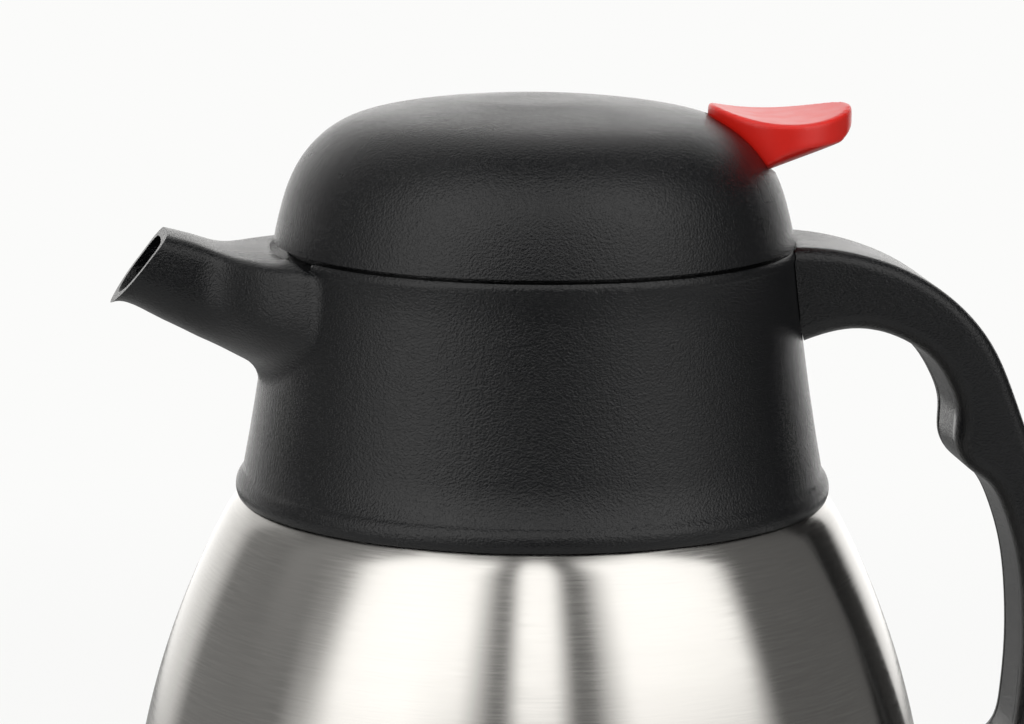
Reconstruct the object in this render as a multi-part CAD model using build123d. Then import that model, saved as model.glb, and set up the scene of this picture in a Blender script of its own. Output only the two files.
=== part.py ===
from build123d import *
import math
import os

# Thermal carafe: a double-walled steel flask with a black collar and spout, a side handle,
# and a screw-in domed lid whose red thumb lever lifts a pouring valve.
# Millimetres. +Z is up, the origin is on the axis at table level, the handle is at +X and
# the spout at -X. Depths are measured down from the parting line of lid and collar, and
# heights up from it.

# ---- the flask -----------------------------------------------------------------------
PARTING_Z = 205.0        # height of the parting line above the table
BELLY_R = 72.3           # widest radius of the steel body
BELLY_DEPTH = 118.0      # depth of that widest place
SHOULDER_R = 44.07       # where the centre of the shoulder's arc lies, under the collar
SHOULDER_DEPTH = 54.11
LOWER_ARC = 300.0        # profile radius below the belly
SHOULDER_ARC = 12.0
FOOT_CORNER = 8.0        # profile radius at the bottom edge
STEEL_FLOOR = 2.6        # lowest steel above the table
SHELL_WALL = 0.6
LINER_WALL = 0.5
VACUUM_GAP = 6.5
NECK_R = 38.0            # outer radius of the steel neck
NECK_FILLET = 3.0
RIM_DEPTH = 33.0         # depth of the flask's rim
BEAD_R = 1.2             # half-round bead that the collar snaps over
BEAD_DEPTH = 35.3
MOUTH_R = 32.0           # bore of the liner's neck
MOUTH_FILLET = 4.0
BASE_OPENING_R = 48.0    # opening in the shell's floor, closed by the welded base
BASE_RECESS = 2.4        # how far the welded base lies above the shell's floor
GETTER_R = 10.0
GETTER_THICK = 1.5
PINCH_R = 4.0            # sealed evacuation hole in the welded base
PINCH_THICK = 0.8
CAP_FLANGE_R = 51.5      # black foot under the steel
CAP_THICK = 1.4
PAD_R = 43.0
PAD_THICK = 1.8          # silicone pad, let into the foot from below

# ---- the collar ----------------------------------------------------------------------
RIM_R = 46.0             # lid and collar radius at the parting line
LID_GAP = 0.8            # dark line between lid and collar
LIP_OUT = 0.2            # rounded lip at the collar's top edge
LIP_HEIGHT = 2.0
COLLAR_FOOT_R = 51.55    # wall radius where the foot bead begins
COLLAR_FOOT_DEPTH = 40.6
COLLAR_SAG = 0.45        # how far the wall is hollow against a straight cone
FOOT_BEAD_R = 52.8       # largest radius of the foot bead
FOOT_BEAD_DEPTH = 43.1
COLLAR_EDGE_DEPTH = 44.9 # outer bottom edge
COLLAR_WALL = 2.5
EDGE_GAP = 0.4           # gap between the collar's foot and the steel
SEAT_BORE_R = 43.5       # bore that takes the lid's gasket
LEDGE_DEPTH = 6.3        # ledge that the lid's gasket lies on
LEDGE_WIDTH = 1.3
CHAMBER_DEPTH = 20.0     # floor of the pouring chamber
SHELF_THICK = 2.0
TUBE_BORE_R = 34.5       # threaded neck tube
TUBE_WALL = 2.0
FLANGE_THICK = 2.0
NECK_GASKET_THICK = 1.5
SKIRT_WALL = 2.0
SNAP_HEIGHT = 1.5
RAIL_NECK = 10.0         # T-shaped rail that the handle hangs on
RAIL_HEAD = 16.0
RAIL_NECK_LENGTH = 4.2
RAIL_HEAD_LENGTH = 3.0
RAIL_TOP_DEPTH = 4.0
RAIL_LENGTH = 9.5

# ---- the spout: stations from the collar out to past the mouth ------------------------
# (reach beyond the rim radius, depth of the top, depth of the underside, half width,
# squareness of the upper half: 2 is an ellipse)
SPOUT_STATIONS = [
    (-9.0, 0.8, 25.6, 25.0, 10.0),
    (-3.0, 0.8, 23.4, 21.8, 10.0),
    (1.0, 0.8, 21.8, 19.2, 10.0),
    (4.5, 0.8, 20.4, 16.2, 9.0),
    (7.5, 0.6, 18.9, 12.8, 8.0),
    (10.5, -0.1, 17.4, 9.9, 7.0),
    (13.5, -1.2, 16.0, 8.6, 6.0),
    (17.0, -2.3, 14.2, 8.2, 5.0),
    (21.0, -3.3, 12.2, 7.7, 4.6),
    (25.8, -4.5, 9.8, 7.2, 4.2),
    (27.4, -4.9, 9.5, 7.2, 4.2),
    (29.4, -5.4, 10.2, 7.2, 4.0),
]
SPOUT_POINTS = 16        # points round each of its sections
SPOUT_ROOT = 5.0         # fillet where the spout grows out of the collar
DIP_DEPTH = 1.3          # floor of the dip in the collar's rim, which the spout's flat top fills
DIP_HALF_WIDTH = 14.0
DIP_RAMP = 7.5           # the rim rises again this far on each side
SPOUT_WALL = 1.6
MOUTH_TOP = (18.9, -2.9)     # reach and depth of the mouth's top edge
MOUTH_BOTTOM = (28.3, 9.2)   # reach and depth of its bottom edge
CHANNEL_FLOOR_DEPTH = 18.6   # lowest the channel opens in the chamber's wall

# ---- the screw-in stopper --------------------------------------------------------------
THREAD_LEAD = 20.0
THREAD_STARTS = 3
THREAD_ARC = 150.0       # degrees that each rib runs round
THREAD_RIB = 2.6         # rib width along the axis at its root
THREAD_DEPTH = 2.3
CORE_R = 31.5            # stopper core inside the neck tube
CORE_WALL = 2.2
CORE_END_DEPTH = 34.0
DECK_R = 43.1
DECK_THICK = 2.0
CAGE_R = 36.0            # windowed cage in the pouring chamber
CAGE_WALL = 2.5
CAGE_END_DEPTH = 19.4
WINDOWS = 6
WINDOW_ARC = 38.0        # degrees
WINDOW_TOP_DEPTH = 7.5
WINDOW_HEIGHT = 9.5
GASKET_WIDTH = 4.0
GASKET_HEIGHT = 2.4
GASKET_CLEAR = 0.1
TIP_R = 29.4             # stopper tip inside the flask's mouth
TIP_END_DEPTH = 38.5
TIP_PLATE = 1.5
TIP_LIP = 1.2
SEAL_HEIGHT = 3.0
SEAL_CLEAR = 0.1
VALVE_HOLE_R = 9.0
UPSTAND_R = 42.5         # ring that locates the dome
UPSTAND_WALL = 2.0
UPSTAND_HEIGHT = 4.0
BOSS_R = 5.2             # rod guide
BOSS_HEIGHT = 5.5
PILOT_R = 3.9            # spring pilot under the deck
PILOT_LENGTH = 4.0

# ---- the dome --------------------------------------------------------------------------
DOME_POINTS = [          # (share of the rim radius, height), edge to crown
    (0.978, 5.2),
    (0.939, 10.9),
    (0.863, 16.6),
    (0.754, 20.7),
    (0.576, 23.25),
    (0.300, 24.9),
]
DOME_HEIGHT = 25.5
DOME_WALL = 2.5
DOME_EDGE_LEAN = 9.0     # degrees off vertical at the parting line

# ---- the lever and the valve -------------------------------------------------------------
PIVOT_X = 37.0
PIVOT_HEIGHT = 12.5
PIN_R = 1.25
PIN_CLEAR = 0.04
HUB_R = 2.9
HUB_WIDTH = 10.0
EAR_THICK = 2.5
EAR_R = 3.0
SIDE_CLEAR = 0.3
PAD_X = 43.7             # middle of the thumb pad
PAD_LONG = 25.4
PAD_WIDE = 27.0
PAD_HEIGHT = 21.9        # top of the pad at its middle
PAD_DISH = 1.7           # how much higher its front and back edges are
SLOT_GAP = 0.6
PAD_EDGE = 3.0           # thickness of the pad's back edge
PAD_RIM = 0.7            # edge radius of the pad's rim
KEEL_HEIGHT = 13.2       # lowest part of the lever outside the dome
HEEL_REACH = 4.8         # how far the heel lies outside the pivot
KEEL_ROUND = 3.9         # how much higher that underside is at the lever's sides
KEEL_RISE = 0.36         # slope of the rounded underside, outwards from the heel
SLOT_DROP = 1.2          # room under the lever for its travel
ARM_HEIGHT = 3.6
TINE_GAP = 5.2           # room for the rod between the arm's two tines
NOSE_R = 1.8
ROD_R = 2.0
ROD_CLEAR = 0.05
ROD_HEAD_R = 5.0
ROD_HEAD_THICK = 1.8
ROD_HEAD_HEIGHT = 14.2
TOUCH = 0.2              # rest gap where two moving pieces would touch
PLUG_R = 12.0
PLUG_THICK = 3.0
CARRIER_R = 9.5
CARRIER_THICK = 3.0
STUD_R = 3.2
CLIP_R = 5.5
CLIP_THICK = 1.0
ORING_R = 0.9            # cord radius of the rod's O-ring
RETAINER_THICK = 1.0
SPRING_R = 5.0           # mean coil radius
SPRING_WIRE = 0.5        # wire radius
SPRING_TURNS = 7

# ---- the handle: stations round the grip, from the collar to the lower arm ----------------
# (outer reach, outer depth, inner reach, inner depth): the root's reach is counted from the
# rim's radius, and the grip's from the belly's
ROOT_STATIONS = [
    (-3.0, 0.0, -3.0, 18.5),
    (5.2, 0.4, 3.6, 16.0),
]
GRIP_STATIONS = [
    (-12.4, 2.4, -16.8, 14.9),
    (-5.1, 5.5, -10.8, 15.7),
    (0.5, 9.2, -6.0, 17.8),
    (5.1, 13.5, -1.7, 21.2),
    (8.9, 18.6, 1.3, 25.8),
    (12.1, 25.1, 3.0, 31.0),
    (14.5, 31.1, 3.0, 36.6),
    (16.8, 37.1, 5.0, 40.5),
    (18.9, 43.5, 9.2, 43.9),
    (21.0, 50.5, 12.3, 49.3),
    (22.9, 59.0, 14.7, 57.0),
    (24.0, 68.0, 16.0, 66.5),
    (24.3, 77.0, 16.3, 76.0),
    (23.6, 87.0, 15.7, 85.5),
    (21.0, 96.0, 14.1, 91.3),
    (16.2, 102.5, 10.2, 94.0),
    (9.2, 106.0, 4.7, 94.7),
]
HANDLE_STATIONS = [
    (base + outer, outer_depth, base + inner, inner_depth)
    for base, stations in ((RIM_R, ROOT_STATIONS), (BELLY_R, GRIP_STATIONS))
    for outer, outer_depth, inner, inner_depth in stations
]
ARM_END_DEPTHS = (107.2, 95.4)  # outer and inner depth where the lower arm meets the steel
COVERED = (4, 17)        # first and last station of the grip's inner cover
ARM_LOW_DEPTH = 118.0    # depth that clears the whole lower arm
HANDLE_GAP = 0.3         # gap between the arm's end and the steel
HANDLE_WIDTH_TOP = 26.0
HANDLE_WIDTH_GRIP = 19.6
GRIP_DEPTH = 50.0        # depth at which the handle has narrowed to the grip
OUTER_EDGE = 2.4         # edge radii of the handle
INNER_EDGE = 3.6
HANDLE_WALL = 2.6
COVER_THICK = 1.8
COVER_EDGE = 4.4         # handle's side beside the cover
COVER_LEDGE = 1.5        # step that the cover lies on
COVER_CLEAR = 0.1
RAIL_CLEAR = 0.15

# ---- the lower fixing ---------------------------------------------------------------------
BRACKET_DEPTH = 98.4     # depth of the bracket's tab
BRACKET_THICK = 2.0
BRACKET_WIDTH = 11.0
BRACKET_LENGTH = 13.0
BRACKET_PLATE = 9.0      # height of the plate welded to the steel
SCREW_R = 2.0
SCREW_HEAD_R = 3.6
SCREW_HEAD_THICK = 2.2
SCREW_REACH = 7.5        # how far the screw stands from the steel
SCREW_CLEAR = 0.1
SCREW_SEAT_DEPTH = 103.0 # depth of the face that the screw's head pulls on
BRACKET_ROOM = 0.6       # room round the tab inside the arm


def at(radius, z):
    """A point of a profile in the XZ plane."""
    return Vector(radius, 0, z)


def down(depth):
    """Height above the table of a depth below the parting line."""
    return PARTING_Z - depth


def up(height):
    """Height above the table of a height above the parting line."""
    return PARTING_Z + height


def arc(centre, radius, start, end):
    """Profile arc about centre, between two angles in degrees above horizontal."""
    angles = [math.radians(a) for a in (start, (start + end) / 2, end)]
    r, z = centre
    return ThreePointArc(*[at(r + radius * math.cos(a), z + radius * math.sin(a)) for a in angles])


def chain(points):
    """Straight edges from each profile point to the next."""
    return [Line(a, b) for a, b in zip(points, points[1:])]


def turned(edges):
    """Solid of revolution about the carafe's axis; edges run round a closed profile."""
    return revolve(Face(Wire(edges)), Axis.Z)


def ring(inner, outer, low, high):
    """Plain ring between two radii and two heights."""
    solid = Pos(0, 0, low) * Cylinder(outer, high - low, align=(Align.CENTER, Align.CENTER, Align.MIN))
    if inner > 0:
        solid -= Pos(0, 0, low) * Cylinder(inner, high - low, align=(Align.CENTER, Align.CENTER, Align.MIN))
    return solid


def block(x, y, z):
    """Box between two limits along each axis."""
    size = [limits[1] - limits[0] for limits in (x, y, z)]
    middle = [(limits[0] + limits[1]) / 2 for limits in (x, y, z)]
    return Pos(*middle) * Box(*size)


def prism(edges, width):
    """Closed XZ outline, extruded to both sides of the middle plane."""
    face = Pos(0, -width / 2, 0) * Face(Wire(edges))
    return extrude(face, amount=width, dir=(0, 1, 0))


def cross_pin(x, z, radius, width):
    """Cylinder across the carafe, along Y."""
    return Pos(x, 0, z) * Rot(90, 0, 0) * Cylinder(radius, width)


def upright(x, radius, low, high):
    """Vertical cylinder on the middle plane."""
    return Pos(x, 0, low) * Cylinder(radius, high - low, align=(Align.CENTER, Align.CENTER, Align.MIN))


def belly_z():
    return down(BELLY_DEPTH)


def upper_arc():
    """Profile radius above the belly, which lets that arc run smoothly into the shoulder's."""
    out, rise = SHOULDER_R - BELLY_R, down(SHOULDER_DEPTH) - belly_z()
    return (out ** 2 + rise ** 2 - SHOULDER_ARC ** 2) / (-2 * (out + SHOULDER_ARC))


def shoulder_lean():
    """Angle in degrees at which the belly's arc hands over to the shoulder's."""
    rise = down(SHOULDER_DEPTH) - belly_z()
    return math.degrees(math.atan2(rise, SHOULDER_R - BELLY_R + upper_arc()))


def steel_r(z):
    """Outer radius of the steel at a height between the foot's corner and the shoulder."""
    sweep = upper_arc() if z > belly_z() else LOWER_ARC
    return BELLY_R - sweep + math.sqrt(sweep ** 2 - (z - belly_z()) ** 2)


def shoulder_z(radius):
    """Height of the steel's shoulder arc at a radius."""
    return down(SHOULDER_DEPTH) + math.sqrt(SHOULDER_ARC ** 2 - (radius - SHOULDER_R) ** 2)


def flask_body(inset, neck_r, fillet_r, top):
    """Filled flask shape, its surface lying `inset` inside the outer steel."""
    upper = (BELLY_R - upper_arc(), belly_z())
    lower = (BELLY_R - LOWER_ARC, belly_z())
    shoulder = (SHOULDER_R, down(SHOULDER_DEPTH))
    shelf = shoulder[1] + SHOULDER_ARC - inset
    corner = FOOT_CORNER - inset if inset < FOOT_CORNER / 2 else FOOT_CORNER
    floor = STEEL_FLOOR + inset
    reach = LOWER_ARC - inset - corner
    turn = math.degrees(math.asin((floor + corner - belly_z()) / reach))
    corner_r = lower[0] + reach * math.cos(math.radians(turn))
    return turned(
        chain([at(0, top), at(0, floor), at(corner_r, floor)])
        + [
            arc((corner_r, floor + corner), corner, -90, turn),
            arc(lower, LOWER_ARC - inset, turn, 0),
            arc(upper, upper_arc() - inset, 0, shoulder_lean()),
            arc(shoulder, SHOULDER_ARC - inset, shoulder_lean(), 90),
        ]
        + chain([at(shoulder[0], shelf), at(neck_r + fillet_r, shelf)])
        + [arc((neck_r + fillet_r, shelf + fillet_r), fillet_r, -90, -180)]
        + chain([at(neck_r, shelf + fillet_r), at(neck_r, top), at(0, top)])
    )


def outer_shell():
    """Brushed steel outer wall with a rolled bead at its neck and an open floor."""
    top = down(RIM_DEPTH) - LINER_WALL
    solid = flask_body(0, NECK_R, NECK_FILLET, top)
    bead_z = down(BEAD_DEPTH)
    inside = NECK_R - SHELL_WALL / 2
    solid += turned([arc((NECK_R, bead_z), BEAD_R, -90, 90)] + chain([
        at(NECK_R, bead_z + BEAD_R), at(inside, bead_z + BEAD_R),
        at(inside, bead_z - BEAD_R), at(NECK_R, bead_z - BEAD_R),
    ]))
    solid -= flask_body(SHELL_WALL, NECK_R - SHELL_WALL, NECK_FILLET + SHELL_WALL, top)
    return solid - ring(0, BASE_OPENING_R, 0, STEEL_FLOOR + FOOT_CORNER)


def inner_liner():
    """Steel vessel that holds the drink; its rim turns out over the shell's neck."""
    inset = SHELL_WALL + VACUUM_GAP
    top = down(RIM_DEPTH)
    solid = flask_body(inset, MOUTH_R + LINER_WALL, MOUTH_FILLET, top)
    solid += ring(0, NECK_R, top - LINER_WALL, top)
    return solid - flask_body(inset + LINER_WALL, MOUTH_R, MOUTH_FILLET + LINER_WALL, top)


def liner_floor():
    """Height of the liner's outer floor."""
    return STEEL_FLOOR + SHELL_WALL + VACUUM_GAP


def base_z():
    """Height of the welded base's underside."""
    return STEEL_FLOOR + BASE_RECESS


def shell_base():
    """Dished steel disc welded into the shell's floor."""
    disc = ring(PINCH_R, BASE_OPENING_R, base_z(), base_z() + SHELL_WALL)
    return disc + ring(BASE_OPENING_R - SHELL_WALL, BASE_OPENING_R, STEEL_FLOOR, base_z())


def vacuum_seal():
    """Button brazed over the evacuation hole."""
    plug = ring(0, PINCH_R, base_z() - PINCH_THICK, base_z() + SHELL_WALL)
    return plug + ring(0, PINCH_R * 1.5, base_z() - PINCH_THICK, base_z())


def getter():
    """Getter disc on the liner's floor, inside the vacuum."""
    return ring(0, GETTER_R, liner_floor() - GETTER_THICK, liner_floor())


def base_cap():
    """Black foot: a flange under the steel's edge and a plug in the recess."""
    low = STEEL_FLOOR - CAP_THICK
    bore = BASE_OPENING_R - SHELL_WALL
    solid = ring(0, CAP_FLANGE_R, low, STEEL_FLOOR)
    solid = chamfer(solid.edges().filter_by(GeomType.CIRCLE).group_by(Axis.Z)[0], CAP_THICK / 2)
    solid += ring(0, bore - COVER_CLEAR, STEEL_FLOOR, base_z() - PINCH_THICK)
    return solid - ring(0, PAD_R + COVER_CLEAR, low, PAD_THICK)


def base_pad():
    """Anti-slip silicone disc let into the foot."""
    return ring(0, PAD_R, 0, PAD_THICK)


# ---- collar and spout ----------------------------------------------------------------------
def collar_outline(grow):
    """Outer profile of the collar, grown outwards: lip, hollow wall and foot bead."""
    top = down(LID_GAP / 2)
    lip_low = at(RIM_R + grow + LIP_OUT * 0.4, top - LIP_HEIGHT)
    foot_top = at(COLLAR_FOOT_R + grow, down(COLLAR_FOOT_DEPTH))
    waist = (lip_low + foot_top) / 2 - Vector(COLLAR_SAG, 0, 0)
    lip_middle = at(RIM_R + grow + LIP_OUT * 0.8, top - LIP_HEIGHT * 0.35)
    lip = ThreePointArc(at(RIM_R + grow - LIP_OUT, top), lip_middle, lip_low)
    wall = ThreePointArc(lip_low, waist, foot_top)
    bead = at(FOOT_BEAD_R + grow, down(FOOT_BEAD_DEPTH))
    foot = ThreePointArc(foot_top, bead, at(edge_r() + grow, down(COLLAR_EDGE_DEPTH)))
    return [lip, wall, foot]


def edge_r():
    """Radius of the collar's outer bottom edge."""
    return FOOT_BEAD_R - 0.4


def wall_r(z):
    """Outer radius of the collar's wall at a height, along the straight cone."""
    share = (down(LID_GAP / 2) - z) / (down(LID_GAP / 2) - down(COLLAR_FOOT_DEPTH))
    return RIM_R + share * (COLLAR_FOOT_R - RIM_R)


def collar_inside():
    """Everything the collar is hollow of: chamber, neck tube and skirt."""
    shelf_top = down(CHAMBER_DEPTH)
    shelf_low = shelf_top - SHELF_THICK
    edge_in = edge_r() - COLLAR_WALL
    ledge_in = SEAT_BORE_R - LEDGE_WIDTH
    chamber = turned(chain([
        at(0, up(DOME_HEIGHT)), at(0, shelf_top), at(wall_r(shelf_top) - COLLAR_WALL - COLLAR_SAG, shelf_top),
        at(ledge_in, down(LEDGE_DEPTH + LEDGE_WIDTH)), at(ledge_in, down(LEDGE_DEPTH)),
        at(SEAT_BORE_R, down(LEDGE_DEPTH)), at(SEAT_BORE_R, up(DOME_HEIGHT)), at(0, up(DOME_HEIGHT)),
    ]))
    flange_low = gasket_top()
    skirt_in = NECK_R + BEAD_R + COVER_CLEAR
    skirt_out = skirt_in + SKIRT_WALL
    snap_top = down(BEAD_DEPTH) - BEAD_R - COVER_CLEAR
    snap_r = NECK_R + COVER_CLEAR
    snap_low = snap_top - SNAP_HEIGHT
    under = [
        at(0, shelf_top), at(TUBE_BORE_R, shelf_top), at(TUBE_BORE_R, flange_low), at(skirt_in, flange_low),
        at(skirt_in, snap_top), at(snap_r, snap_top), at(snap_r, snap_low), at(skirt_out, snap_low),
        at(skirt_out, flange_low + FLANGE_THICK), at(TUBE_BORE_R + TUBE_WALL, flange_low + FLANGE_THICK),
        at(TUBE_BORE_R + TUBE_WALL, shelf_low), at(wall_r(shelf_low) - COLLAR_WALL - COLLAR_SAG, shelf_low),
        at(COLLAR_FOOT_R - COLLAR_WALL, down(COLLAR_FOOT_DEPTH)), at(edge_in, shoulder_z(edge_in) + EDGE_GAP),
        at(edge_in, 0), at(0, 0), at(0, shelf_top),
    ]
    return chamber + turned(chain(under))


def gasket_top():
    """Underside of the collar's flange, above the gasket on the flask's rim."""
    return down(RIM_DEPTH) + NECK_GASKET_THICK


def spout_flare(index):
    """How fast the spout's half width changes along its reach at a station."""
    before = SPOUT_STATIONS[max(index - 1, 0)]
    after = SPOUT_STATIONS[min(index + 1, len(SPOUT_STATIONS) - 1)]
    return (after[3] - before[3]) / (after[0] - before[0])


def spout_sections(inset):
    """Sections across the spout, flat above and round below, `inset` inside its skin."""
    sections = []
    for index, (reach, top, low, half_width, squareness) in enumerate(SPOUT_STATIONS):
        width = half_width - inset * math.hypot(1, spout_flare(index))
        height = (low - top) / 2 - inset
        points = []
        for i in range(SPOUT_POINTS):
            turn = 2 * math.pi * (i + 0.5) / SPOUT_POINTS
            power = 2 / squareness if turn < math.pi else 1
            y = width * math.copysign(abs(math.cos(turn)) ** power, math.cos(turn))
            z = height * math.copysign(abs(math.sin(turn)) ** power, math.sin(turn))
            points.append(Vector(-RIM_R - reach, y, down((top + low) / 2) + z))
        sections.append(Face(Wire(Spline(*points, periodic=True))))
    return sections


def rim_dip():
    """Shallow trough across the collar's rim, for the spout's flat top."""
    floor, rim = down(DIP_DEPTH), down(LID_GAP / 2)
    outer = DIP_HALF_WIDTH + DIP_RAMP
    trough = Plane.YZ * make_face(Polyline(
        (-outer, rim), (-DIP_HALF_WIDTH, floor), (DIP_HALF_WIDTH, floor), (outer, rim),
        (outer, up(DOME_HEIGHT)), (-outer, up(DOME_HEIGHT)), close=True))
    return extrude(trough, -2 * RIM_R)


def mouth_cutter():
    """Block that cuts the spout off at its slanting mouth."""
    top = at(-RIM_R - MOUTH_TOP[0], down(MOUTH_TOP[1]))
    low = at(-RIM_R - MOUTH_BOTTOM[0], down(MOUTH_BOTTOM[1]))
    along = (top - low).normalized()
    out = Vector(-along.Z, 0, along.X)
    size = 2 * RIM_R
    plane = Plane(origin=(top + low) / 2, x_dir=(0, 1, 0), z_dir=out)
    return plane * Box(size, size, size, align=(Align.CENTER, Align.CENTER, Align.MIN))


def helical_rib(radius, depth, low_z, start, inward):
    """One thread rib of trapezoidal section, standing `depth` off a cylinder."""
    path = Helix(THREAD_LEAD, THREAD_LEAD * THREAD_ARC / 360, radius)
    root = 0.4
    side = -1 if inward else 1
    half, tip = THREAD_RIB / 2, THREAD_RIB / 4
    plane = Plane(origin=path @ 0, x_dir=(1, 0, 0), z_dir=path % 0)
    section = plane * make_face(Polyline((-side * root, -half), (side * depth, -tip), (side * depth, tip),
                                         (-side * root, half), close=True))
    rib = sweep(section, path=path, is_frenet=True)
    return Pos(0, 0, low_z) * Rot(0, 0, start) * rib


def thread(radius, depth, inward):
    """All the ribs of the multi-start lid thread."""
    low = gasket_top() + THREAD_RIB / 2 + TOUCH
    offset = 180 / THREAD_STARTS if inward else 0
    starts = [offset + 360 * i / THREAD_STARTS for i in range(THREAD_STARTS)]
    return [helical_rib(radius, depth, low, start, inward) for start in starts]


def rail_x():
    """Where the handle's rail leaves the collar's wall."""
    return wall_r(down(RAIL_TOP_DEPTH)) - COLLAR_WALL / 2


def handle_rail(clear):
    """T-shaped rail on the collar, or with a clearance the slot that takes it."""
    low = down(RAIL_TOP_DEPTH + RAIL_LENGTH) - clear
    high = down(RAIL_TOP_DEPTH) + clear
    neck_end = RIM_R + RAIL_NECK_LENGTH
    neck = block((rail_x(), neck_end + clear), (-RAIL_NECK / 2 - clear, RAIL_NECK / 2 + clear), (low, high))
    head = block((neck_end - clear, neck_end + RAIL_HEAD_LENGTH + clear),
                 (-RAIL_HEAD / 2 - clear, RAIL_HEAD / 2 + clear), (low, high))
    return neck + head


def collar_envelope(grow=0):
    """The collar's outer form, filled, and grown outwards by a clearance."""
    edge = down(COLLAR_EDGE_DEPTH)
    inner = edge_r() - COLLAR_WALL
    top = down(LID_GAP / 2)
    floor = shoulder_z(inner) + EDGE_GAP
    return turned(collar_outline(grow) + chain([
        at(edge_r() + grow, edge), at(inner, floor), at(0, floor), at(0, top),
        at(RIM_R + grow - LIP_OUT, top),
    ]))


def collar():
    """Black collar moulded in one with its spout, neck tube and handle rail."""
    solid = collar_envelope() - rim_dip() + (loft(spout_sections(0)) - mouth_cutter())
    near = [e for e in solid.edges() if -RIM_R - SPOUT_ROOT < e.center().X < -SEAT_BORE_R]
    solid = fillet([e for e in near if e.length > RIM_R], SPOUT_ROOT) + handle_rail(0)
    channel = loft(spout_sections(SPOUT_WALL))
    channel -= block((-RIM_R, 0), (-RIM_R, RIM_R), (down(LEDGE_DEPTH + LEDGE_WIDTH), up(DOME_HEIGHT)))
    channel -= block((-RIM_R, 0), (-RIM_R, RIM_R), (0, down(CHANNEL_FLOOR_DEPTH)))
    solid -= channel
    solid -= collar_inside()
    for rib in thread(TUBE_BORE_R, THREAD_DEPTH, True):
        solid += rib
    return solid


def neck_gasket():
    """Silicone ring between the collar's flange and the flask's rim."""
    return ring(TUBE_BORE_R, NECK_R, down(RIM_DEPTH), gasket_top())


# ---- stopper -------------------------------------------------------------------------------
def deck_z():
    return PARTING_Z - LID_GAP / 2


def deck_low():
    return deck_z() - DECK_THICK


def plate_z():
    """Top of the stopper's bottom plate, the valve's seat."""
    return down(TIP_END_DEPTH) + TIP_PLATE


def dome_curve(inset):
    """Profile of the dome from its edge to its crown, `inset` inside its skin."""
    lean = math.radians(DOME_EDGE_LEAN)
    points = [at(RIM_R, up(LID_GAP / 2))] + [at(share * RIM_R, up(height)) for share, height in DOME_POINTS]
    points.append(at(0, up(DOME_HEIGHT)))
    tangents = [Vector(-math.sin(lean), 0, math.cos(lean)), Vector(-1, 0, 0)]
    outer = Spline(*points, tangents=tangents)
    if inset == 0:
        return outer
    inner = []
    for i in range(len(points)):
        share = i / (len(points) - 1)
        along = outer % share
        inner.append(outer @ share + Vector(-along.Z, 0, along.X) * inset)
    inner[-1] = at(0, up(DOME_HEIGHT) - inset)
    return Spline(*inner, tangents=tangents)


def dome_body(inset):
    """Filled dome, its surface lying `inset` inside the outer skin."""
    curve = dome_curve(inset)
    start, crown = curve @ 0, curve @ 1
    return turned([curve] + chain([crown, at(0, start.Z), start]))


def ears():
    """Two ears on the deck that carry the lever's pin, kept clear of the dome."""
    half = HUB_WIDTH / 2 + SIDE_CLEAR
    far = half + EAR_THICK
    pivot = up(PIVOT_HEIGHT)
    post = block((PIVOT_X - EAR_R, PIVOT_X + EAR_R), (-far, far), (deck_z(), pivot))
    post += cross_pin(PIVOT_X, pivot, EAR_R, 2 * far)
    post -= block((0, 2 * RIM_R), (-half, half), (deck_z(), up(DOME_HEIGHT)))
    post -= cross_pin(PIVOT_X, pivot, PIN_R, 4 * far)
    return post & dome_inner_space()


def dome_inner_space():
    """Space inside the dome, above the deck, less a small gap."""
    gap = DOME_WALL + TOUCH
    body = dome_body(gap)
    low = (dome_curve(gap) @ 0)
    return body + ring(0, UPSTAND_R - UPSTAND_WALL, deck_z() - DECK_THICK / 2, low.Z + LID_GAP)


def lever_pin():
    """Steel pin through the ears and the lever's hub."""
    return cross_pin(PIVOT_X, up(PIVOT_HEIGHT), PIN_R, HUB_WIDTH + 2 * (SIDE_CLEAR + EAR_THICK))


def stopper_body():
    """Lid moulding: deck, windowed cage, threaded core, tip and the ears for the lever."""
    core_top = down(CAGE_END_DEPTH)
    solid = ring(0, DECK_R, deck_low(), deck_z())
    solid += ring(UPSTAND_R - UPSTAND_WALL, UPSTAND_R, deck_z(), deck_z() + UPSTAND_HEIGHT)
    solid += ring(CAGE_R - CAGE_WALL, CAGE_R, core_top, deck_low())
    solid += ring(CORE_R - CORE_WALL, CAGE_R, core_top, core_top + CAGE_WALL)
    solid += ring(CORE_R - CORE_WALL, CORE_R, down(CORE_END_DEPTH), core_top)
    tip_in = TIP_R - CORE_WALL
    solid += ring(tip_in, CORE_R, down(CORE_END_DEPTH), down(CORE_END_DEPTH) + CORE_WALL)
    solid += ring(tip_in, TIP_R, down(TIP_END_DEPTH), down(CORE_END_DEPTH))
    solid += ring(VALVE_HOLE_R, TIP_R, down(TIP_END_DEPTH), plate_z())
    solid += ring(TIP_R, TIP_R + TIP_LIP, down(TIP_END_DEPTH), seal_low())
    solid += ring(0, BOSS_R, deck_z(), deck_z() + BOSS_HEIGHT)
    solid += ring(0, PILOT_R, deck_low() - PILOT_LENGTH, deck_low())
    solid -= ring(0, ROD_R + ROD_CLEAR, 0, deck_z() + BOSS_HEIGHT)
    pocket = ORING_R * 2 + RETAINER_THICK
    solid -= ring(0, oring_mean_r() + ORING_R, deck_z() + BOSS_HEIGHT - pocket, deck_z() + BOSS_HEIGHT)
    for i in range(WINDOWS):
        solid -= Rot(0, 0, 360 * i / WINDOWS) * window()
    for rib in thread(CORE_R, THREAD_DEPTH, False):
        solid += rib
    return solid + ears()


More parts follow.
